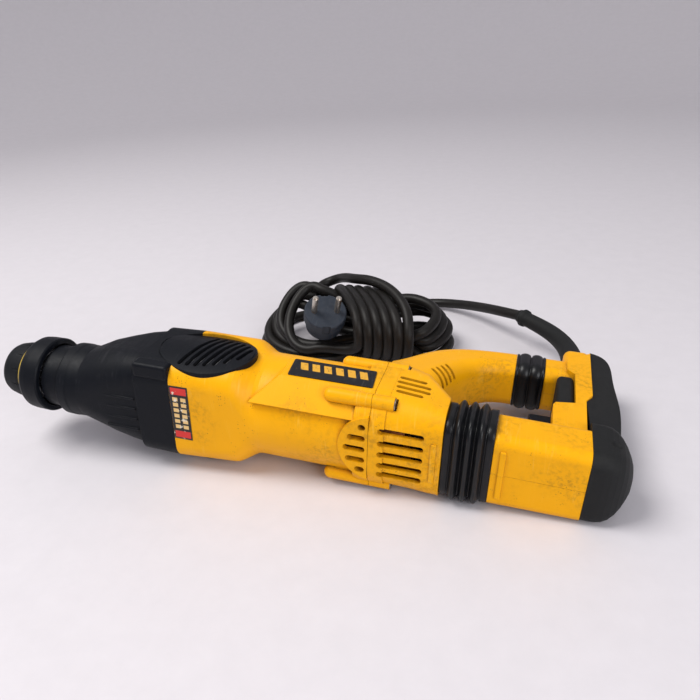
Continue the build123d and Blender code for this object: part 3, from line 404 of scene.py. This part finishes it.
def soft_rubber(name, colour, dust, rough, grain, gloss=0.3, grain_scale=900.0, edge=0.0004):
    """Matt rubber with a fine pebbled skin and dust in patches."""
    paint = Paint(name)
    broad = paint.noise(18.0, 4.0, 0.6)
    fine = paint.noise(grain_scale, 3.0, 0.6)
    grit = paint.spread(paint.noise(160.0, 5.0, 0.7), 0.42, 0.72)
    dusty = paint.math("MULTIPLY", paint.spread(broad, 0.45, 0.78), grit)
    corners = paint.math("MULTIPLY", paint.creases(DUST_REACH), 0.5)
    dusted = paint.math("MULTIPLY", paint.math("MAXIMUM", dusty, corners), 0.42)
    base = paint.mix(dusted, colour, dust)
    paint.bump(fine, grain, 0.7, edge)
    shine = paint.spread(broad, 0.2, 0.8, rough - 0.05, rough + 0.12)
    return paint.set(Base_Color=base, Roughness=shine, Specular_IOR_Level=gloss)


def metal(name, colour, rough, stain=(0.08, 0.06, 0.04), stretch=(0.15, 1.0, 1.0)):
    """Turned or rolled metal with fine tool marks and a little tarnish."""
    paint = Paint(name)
    marks = paint.noise(900.0, 3.0, 0.6, stretch=stretch)
    dull = paint.math("MULTIPLY", paint.spread(paint.noise(120.0, 4.0, 0.65), 0.45, 0.75), 0.55)
    base = paint.mix(dull, colour, stain)
    paint.bump(marks, 0.00004, 0.5)
    shine = paint.spread(marks, 0.3, 0.7, rough - 0.08, rough + 0.12)
    return paint.set(Base_Color=base, Roughness=shine, Metallic=1.0)


def copper_wire():
    """Enamelled wire, laid in turns along the core."""
    paint = Paint("copper_wire")
    turns = paint.noise(1400.0, 1.0, 0.4, stretch=(0.08, 1.0, 1.0))
    base = paint.mix(paint.spread(turns, 0.3, 0.7), (0.52, 0.20, 0.07), (0.25, 0.08, 0.03))
    paint.bump(turns, 0.0002, 0.9)
    return paint.set(Base_Color=base, Roughness=paint.spread(turns, 0.2, 0.8, 0.25, 0.45), Metallic=0.8)


def steel_sheets():
    """Stacked laminations, edge on."""
    paint = Paint("steel_sheets")
    layers = paint.noise(2600.0, 1.0, 0.3, stretch=(1.0, 0.02, 0.02))
    base = paint.mix(paint.spread(layers, 0.35, 0.65), (0.10, 0.10, 0.11), (0.27, 0.27, 0.28))
    paint.bump(layers, 0.0001, 0.8)
    return paint.set(Base_Color=base, Roughness=paint.spread(layers, 0.2, 0.8, 0.35, 0.55), Metallic=0.9)


# ---------------------------------------------------------------- print
PRINT_BLUR = 0.00015
LABEL_YELLOW = (0.70, 0.36, 0.03)
LABEL_MIDDLE = (237.5, 6.8, 34.9)
BAR_LEAN = 0.35
BAR_PITCH = 0.0078
BAR_HALF_ROW = 0.0042
BAR_ROW_HALF_LENGTH = 0.0235


def distance_along(paint, middle, axis):
    """Distance from a point of the tool along one of the tool's directions, in metres."""
    shift = paint.nodes.new("ShaderNodeVectorMath")
    shift.operation = "SUBTRACT"
    paint.links.new(paint.place, shift.inputs[0])
    shift.inputs[1].default_value = at(*middle)
    dot = paint.nodes.new("ShaderNodeVectorMath")
    dot.operation = "DOT_PRODUCT"
    paint.links.new(shift.outputs[0], dot.inputs[0])
    dot.inputs[1].default_value = axis
    return dot.outputs["Value"]


def within(paint, value, half):
    return paint.spread(paint.math("ABSOLUTE", value), half + PRINT_BLUR, half - PRINT_BLUR)


def label_bars(paint, base):
    """A row of plain slanted bars, in place of any lettering."""
    x = distance_along(paint, LABEL_MIDDLE, TOOL_X)
    y = distance_along(paint, LABEL_MIDDLE, TOOL_Y)
    leaning = paint.math("ADD", x, paint.math("MULTIPLY", y, BAR_LEAN))
    phase = paint.math("PINGPONG", leaning, BAR_PITCH / 2)
    bars = paint.spread(phase, BAR_PITCH * 0.17, BAR_PITCH * 0.19)
    row = paint.math("MULTIPLY", within(paint, y, BAR_HALF_ROW), within(paint, x, BAR_ROW_HALF_LENGTH))
    worn = paint.spread(paint.noise(300.0, 4.0, 0.7), 0.30, 0.42)
    return paint.mix(paint.math("MULTIPLY", paint.math("MULTIPLY", bars, row), worn), base, LABEL_YELLOW)


# ---------------------------------------------------------------- materials
MOULDED = {
    # slot: colour, colour of the grime and of the painted shade in creases, roughness, colour where it is worn,
    # how strong the dirt and painted crease shade are, gloss, print
    "yellow_plastic": ((0.88, 0.405, 0.0015), (0.09, 0.055, 0.02), 0.38, (0.95, 0.60, 0.10), 0.9, 0.16),
    "black_plastic": ((0.0035, 0.0046, 0.0075), (0.03, 0.028, 0.026), 0.46, (0.04, 0.04, 0.045), 0.4, 0.14),
    "ring_plastic": ((0.62, 0.42, 0.06), (0.10, 0.07, 0.04), 0.4, (0.8, 0.6, 0.2), 0.7),
    "plug_plastic": ((0.021, 0.028, 0.042), (0.07, 0.075, 0.085), 0.5, (0.08, 0.09, 0.11), 0.6),
    "label_black": (
        (0.006, 0.006, 0.008), (0.05, 0.045, 0.04), 0.30, (0.14, 0.13, 0.12), 0.5, 0.3, label_bars
    ),
}
RUBBER = {
    # slot: colour, dust, roughness, depth of the grain, gloss, scale of the grain, softened edge
    "black_rubber": ((0.011, 0.0115, 0.012), (0.04, 0.038, 0.036), 0.62, 0.00012, 0.2),
    "bellows_rubber": ((0.003, 0.0034, 0.0046), (0.022, 0.021, 0.02), 0.3, 0.00004, 0.3),
    "dust_rubber": ((0.006, 0.007, 0.009), (0.045, 0.04, 0.033), 0.55, 0.00008, 0.16),
    "cord_rubber": ((0.0075, 0.0066, 0.006), (0.038, 0.033, 0.028), 0.42, 0.00005, 0.24, 1300.0, 0.0),
    "carbon": ((0.03, 0.03, 0.032), (0.07, 0.07, 0.07), 0.7, 0.00008),
}
METAL = {
    # slot: colour, roughness, stain, stretch of the tool marks
    "steel": ((0.55, 0.55, 0.56), 0.28),
    "blued_steel": ((0.17, 0.17, 0.19), 0.36),
    "spring_steel": ((0.42, 0.42, 0.44), 0.3),
    "screw_steel": ((0.42, 0.40, 0.37), 0.36, (0.10, 0.06, 0.03)),
    "cast_aluminium": ((0.50, 0.50, 0.51), 0.48, (0.22, 0.22, 0.22), (1.0, 1.0, 1.0)),
    "bronze": ((0.55, 0.36, 0.14), 0.4, (0.2, 0.12, 0.05)),
    "nickel_pin": ((0.62, 0.58, 0.52), 0.34, (0.16, 0.09, 0.05), (1.0, 1.0, 0.2)),
}
MATERIALS = {"laminations": steel_sheets(), "copper": copper_wire()}
for recipe, finishes in ((moulded, MOULDED), (soft_rubber, RUBBER), (metal, METAL)):
    MATERIALS.update({slot: recipe(slot, *finish) for slot, finish in finishes.items()})


def dress(piece, material):
    piece.data.materials.clear()
    piece.data.materials.append(material)


def dress_cad_nodes():
    for part in frame["record"]["subparts"]:
        node = frame["nodes"][part["node"]]
        dress(node, MATERIALS[part["material_slot"]])


dress_cad_nodes()
dress(mains_cord, MATERIALS["cord_rubber"])


# ---------------------------------------------------------------- bellows
CORNER_STEPS = 10


def rounded_outline(y0, y1, z0, z1, radius):
    """Points round a rounded rectangle, the same number in every corner."""
    points = []
    corners = [(y1, z1, 0), (y0, z1, 90), (y0, z0, 180), (y1, z0, 270)]
    for y, z, start in corners:
        cy = y - math.copysign(radius, y - (y0 + y1) / 2)
        cz = z - math.copysign(radius, z - (z0 + z1) / 2)
        for i in range(CORNER_STEPS + 1):
            turn = math.radians(start + 90 * i / CORNER_STEPS)
            points.append((cy + radius * math.cos(turn), cz + radius * math.sin(turn)))
    return points


def mesh_object(name, points, faces):
    mesh = bpy.data.meshes.new(name)
    mesh.from_pydata([tuple(p) for p in points], [], faces)
    mesh.polygons.foreach_set("use_smooth", [True] * len(mesh.polygons))
    mesh.update()
    piece = bpy.data.objects.new(name, mesh)
    bpy.context.scene.collection.objects.link(piece)
    return piece


# Shares of a collar's length from its open end, with how far the rubber stands out there in millimetres.
COLLAR_BEAD = ((0.0, -0.6), (0.03, -0.1), (0.12, 0.15), (0.5, 0.2), (0.82, 0.15), (0.95, -0.1), (1.0, -0.7))
RUBBER_WALL = 1.7
FOLD_STEPS = 12
FOLD_FOOT = -1.1
VALLEY_FOOT = -1.3
BELLOWS = {
    # piece: node, ends along the tool, outline (y, z, corner), folds, collar, depth and fullness of a fold
    "bellows_upper": ("large_bellows", (312.15, 341.05), (-20.8, 10.6, -26.6, 28.6, 9.5), 3, 4.6, 2.7, 1.15),
    "bellows_lower": ("small_bellows", (347.15, 366.85), (78.4, 105.4, -17.1, 17.1, 8.2), 2, 1.8, 1.3, 0.45),
}


def bellows(name, node, ends, outline, folds, collar, depth, fullness):
    """Moulded bellows between the two bodies: rounded folds with deep valleys, and a beaded collar."""
    x0, x1 = ends
    y0, y1, z0, z1, radius = outline
    pitch = (x1 - x0 - 2 * collar) / folds
    stations = [(x0 + collar * share, by) for share, by in COLLAR_BEAD]
    for i in range(folds):
        for j in range(1, FOLD_STEPS):
            share = j / FOLD_STEPS
            ridge = math.sin(math.pi * share) ** fullness
            stations.append((x0 + collar + pitch * (i + share), FOLD_FOOT + (depth - FOLD_FOOT) * ridge))
        if i < folds - 1:
            stations.append((x0 + collar + pitch * (i + 1), VALLEY_FOOT))
    stations += [(x1 - collar * share, by) for share, by in reversed(COLLAR_BEAD)]
    rows = stations + [(x, by - RUBBER_WALL) for x, by in reversed(stations)]
    points = []
    for x, by in rows:
        ring = rounded_outline(y0 - by, y1 + by, z0 - by, z1 + by, radius + by)
        points += [at(x, y, z) for y, z in ring]
    count = len(points) // len(rows)
    faces = []
    for i in range(len(rows)):
        for j in range(count):
            a, b = i * count, ((i + 1) % len(rows)) * count
            k = (j + 1) % count
            faces.append((a + j, b + j, b + k, a + k))
    piece = mesh_object(name, points, faces)
    dress(piece, MATERIALS["bellows_rubber"])
    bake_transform(piece)
    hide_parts(node)


for bellows_name, sizes in BELLOWS.items():
    bellows(bellows_name, *sizes)


# ---------------------------------------------------------------- springs
SPRINGS = {
    # node: body, joint, fixed end along the tool, share of the length left at the joint's limit
    "collar_spring": ("tool_holder", "collar_slide", 33.0, 0.2),
    "trigger_spring": ("handle", "trigger_travel", 384.0, 0.02),
}


def shortening_spring(node, body, moving_joint, fixed_x, keep):
    """Stands for a coil spring: a copy of its part's mesh in spring steel, fixed to its body."""
    spring = bpy.data.objects.new(node + "_coils", frame["nodes"][node].data.copy())
    bpy.context.scene.collection.objects.link(spring)
    dress(spring, MATERIALS["spring_steel"])
    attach(spring, body)
    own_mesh(spring)
    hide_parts(node)


for spring_node, motion in SPRINGS.items():
    shortening_spring(spring_node, *motion)


# ---------------------------------------------------------------- sticker
STICKER_MIDDLE = (143.6, -24.0, 3.8)
STICKER_HALF = (6.4, 20.2)
STICKER_COLUMNS = 12
STICKER_ROWS = 36
STICKER_LIFT = 0.00012
STICKER_BLACK = (0.010, 0.009, 0.009)
STICKER_RED = (0.62, 0.025, 0.02)
STICKER_CREAM = (0.74, 0.50, 0.20)
STICKER_PAPER = (0.75, 0.68, 0.55)
RAY_START = 30.0


def sticker_paint():
    """Plain printed blocks in red, cream and black, worn at the edges."""
    paint = Paint("sticker")
    x = distance_along(paint, STICKER_MIDDLE, TOOL_X)
    z = distance_along(paint, STICKER_MIDDLE, TOOL_Z)
    length = paint.math("ABSOLUTE", z)
    middle = paint.spread(length, 0.0128, 0.0125)
    ends = paint.math("MULTIPLY", paint.spread(length, 0.0138, 0.0141), paint.spread(length, 0.0192, 0.0189))
    red = paint.math("MULTIPLY", ends, within(paint, x, 0.0054))
    rows = paint.math("ABSOLUTE", paint.math("SUBTRACT", paint.math("ABSOLUTE", x), 0.0028))
    rows = paint.spread(rows, 0.0019, 0.0017)
    blocks = paint.spread(paint.math("PINGPONG", z, 0.0021), 0.0006, 0.0008)
    cream = paint.math("MULTIPLY", paint.math("MULTIPLY", rows, blocks), middle)
    base = paint.mix(red, STICKER_BLACK, STICKER_RED)
    base = paint.mix(cream, base, STICKER_CREAM)
    worn = paint.spread(paint.noise(220.0, 5.0, 0.7), 0.60, 0.66)
    base = paint.mix(worn, base, STICKER_PAPER)
    rubbed = paint.noise(500.0, 3.0, 0.6)
    paint.bump(rubbed, 0.00003, 0.4)
    shine = paint.spread(rubbed, 0.3, 0.7, 0.32, 0.5)
    return paint.set(Base_Color=base, Roughness=shine, Specular_IOR_Level=0.4)


def surface_trees(*nodes):
    trees = []
    for name in nodes:
        mesh = frame["nodes"][name].data
        corners = [v.co for v in mesh.vertices]
        trees.append(BVHTree.FromPolygons(corners, [p.vertices for p in mesh.polygons]))
    return trees


def make_sticker():
    """A thin sheet pressed onto the front face of the gearbox."""
    trees = surface_trees("motor_housing", "nose_cover")
    middle_x, middle_y, middle_z = STICKER_MIDDLE
    points = []
    for i in range(STICKER_ROWS + 1):
        for j in range(STICKER_COLUMNS + 1):
            x = middle_x + STICKER_HALF[0] * (2 * j / STICKER_COLUMNS - 1)
            z = middle_z + STICKER_HALF[1] * (1 - 2 * i / STICKER_ROWS)
            start = at(x, middle_y - RAY_START, z)
            hits = [tree.ray_cast(start, TOOL_Y) for tree in trees]
            nearest = min((hit for hit in hits if hit[0] is not None), key=lambda hit: hit[3])
            points.append(nearest[0] - TOOL_Y * STICKER_LIFT)
    faces = []
    for i in range(STICKER_ROWS):
        for j in range(STICKER_COLUMNS):
            a = i * (STICKER_COLUMNS + 1) + j
            faces.append((a, a + 1, a + STICKER_COLUMNS + 2, a + STICKER_COLUMNS + 1))
    sticker = mesh_object("sticker", points, faces)
    thick = sticker.modifiers.new("thickness", "SOLIDIFY")
    thick.thickness = STICKER_LIFT
    thick.offset = -1.0
    dress(sticker, sticker_paint())
    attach(sticker, "housing")


make_sticker()


# ---------------------------------------------------------------- room and light
FLOOR_COLOUR = (0.66, 0.635, 0.67)
FLOOR_ROUGHNESS = 0.6
FLOOR_RINGS = (0.8, 1.3, 1.6)
COVE_RADIUS = 1.2
COVE_STEPS = 16
WALL_TOP = 1.7
STAGE_SIDES = 96
LIGHTS = {
    # name: place, point aimed at, diameter, watts, colour
    "key": ((-0.7, -0.3, 1.5), (0.0, 0.05, 0.0), 0.9, 23.0, (1.0, 0.98, 0.95)),
    "fill": ((1.2, -1.0, 0.7), (0.0, 0.0, 0.05), 1.0, 13.0, (0.97, 0.98, 1.0)),
}
SKY_COLOUR = (0.88, 0.87, 0.90, 1.0)
SKY_STRENGTH = 0.55


def floor_paint():
    """Pale card with a faint grain."""
    paint = Paint("floor_paint")
    grain = paint.noise(60.0, 6.0, 0.65)
    base = paint.mix(paint.spread(grain, 0.3, 0.7), FLOOR_COLOUR, [c * 0.96 for c in FLOOR_COLOUR])
    paint.bump(grain, 0.0004, 0.25)
    return paint.set(Base_Color=base, Roughness=FLOOR_ROUGHNESS)


def make_stage():
    """A round floor that curves up into a low wall."""
    profile = [(radius, 0.0) for radius in FLOOR_RINGS]
    for i in range(1, COVE_STEPS + 1):
        turn = math.radians(90 * i / COVE_STEPS)
        radius = FLOOR_RINGS[-1] + COVE_RADIUS * math.sin(turn)
        profile.append((radius, COVE_RADIUS * (1 - math.cos(turn))))
    profile.append((profile[-1][0], WALL_TOP))
    points = [(0.0, 0.0, 0.0)]
    for radius, height in profile:
        for i in range(STAGE_SIDES):
            turn = math.tau * i / STAGE_SIDES
            points.append((radius * math.cos(turn), radius * math.sin(turn), height))
    faces = [(0, 1 + i, 1 + (i + 1) % STAGE_SIDES) for i in range(STAGE_SIDES)]
    for ring in range(len(profile) - 1):
        a, b = 1 + ring * STAGE_SIDES, 1 + (ring + 1) * STAGE_SIDES
        for i in range(STAGE_SIDES):
            k = (i + 1) % STAGE_SIDES
            faces.append((a + i, b + i, b + k, a + k))
    floor = mesh_object("floor", points, faces)
    dress(floor, floor_paint())


def soft_light(name, place, towards, size, power, colour):
    data = bpy.data.lights.new(name, "AREA")
    data.shape = "DISK"
    data.size = size
    data.energy = power
    data.color = colour
    lamp = bpy.data.objects.new(name, data)
    lamp.location = place
    lamp.rotation_mode = "QUATERNION"
    lamp.rotation_quaternion = (Vector(towards) - Vector(place)).to_track_quat("-Z", "Y")
    bpy.context.scene.collection.objects.link(lamp)


def make_light():
    world = bpy.data.worlds.new("studio")
    bpy.context.scene.world = world
    world.use_nodes = True
    background = world.node_tree.nodes["Background"]
    background.inputs["Color"].default_value = SKY_COLOUR
    background.inputs["Strength"].default_value = SKY_STRENGTH
    for name, setting in LIGHTS.items():
        soft_light(name, *setting)
    bpy.context.scene.view_settings.view_transform = "Standard"


make_stage()
make_light()

bpy.context.view_layer.update()
